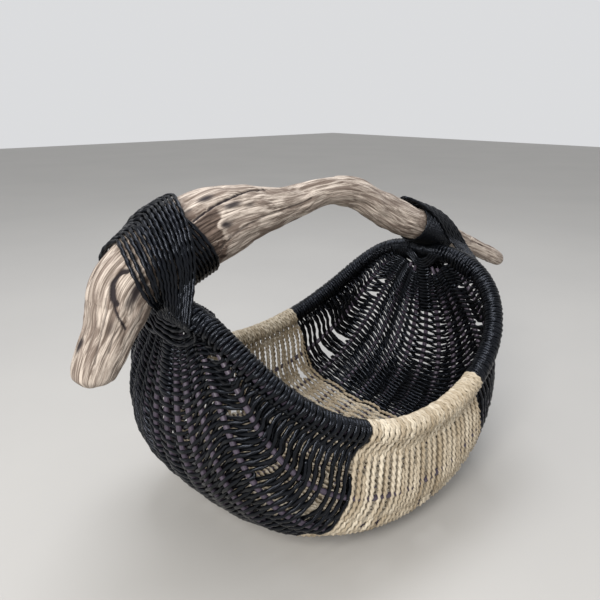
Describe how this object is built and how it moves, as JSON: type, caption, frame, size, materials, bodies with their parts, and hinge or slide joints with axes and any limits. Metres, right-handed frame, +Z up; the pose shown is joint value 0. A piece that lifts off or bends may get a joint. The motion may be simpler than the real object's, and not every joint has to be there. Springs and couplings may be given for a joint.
{
  "type": "driftwood basket",
  "caption": "Ribbed basket with a saddle-shaped rim, woven in black and natural cord, and a driftwood handle lashed across its rim hoop.",
  "frame": {"origin": "centre of the flat patch that the belly rests on", "axes": "+X along the handle towards its thin end, +Y across the basket towards its far rim, +Z up"},
  "size_m": [0.6636, 0.338, 0.3737],
  "materials": {
    "black_cord": "matt twisted two-ply cord, dyed black",
    "natural_seagrass": "matt twisted seagrass cord, undyed",
    "dyed_cane": "smooth round cane, dyed purple-grey",
    "driftwood": "bare, sea-worn and bleached"
  },
  "bodies": {
    "root": {"driftwood_handle": "driftwood", "rim_hoop": "dyed_cane", "near_rib_1": "dyed_cane", "near_rib_2": "dyed_cane", "near_rib_3": "dyed_cane", "near_rib_4": "dyed_cane", "near_rib_5": "dyed_cane", "keel_rib": "dyed_cane", "far_rib_1": "dyed_cane", "far_rib_2": "dyed_cane", "far_rib_3": "dyed_cane", "far_rib_4": "dyed_cane", "far_rib_5": "dyed_cane", "left_black_weave": "black_cord", "natural_band_weave": "natural_seagrass", "right_black_weave": "black_cord", "left_fan_lashing": "black_cord", "left_handle_wrap": "black_cord", "right_strap_lashing": "black_cord", "right_handle_wrap": "black_cord"}
  },
  "joints": []
}
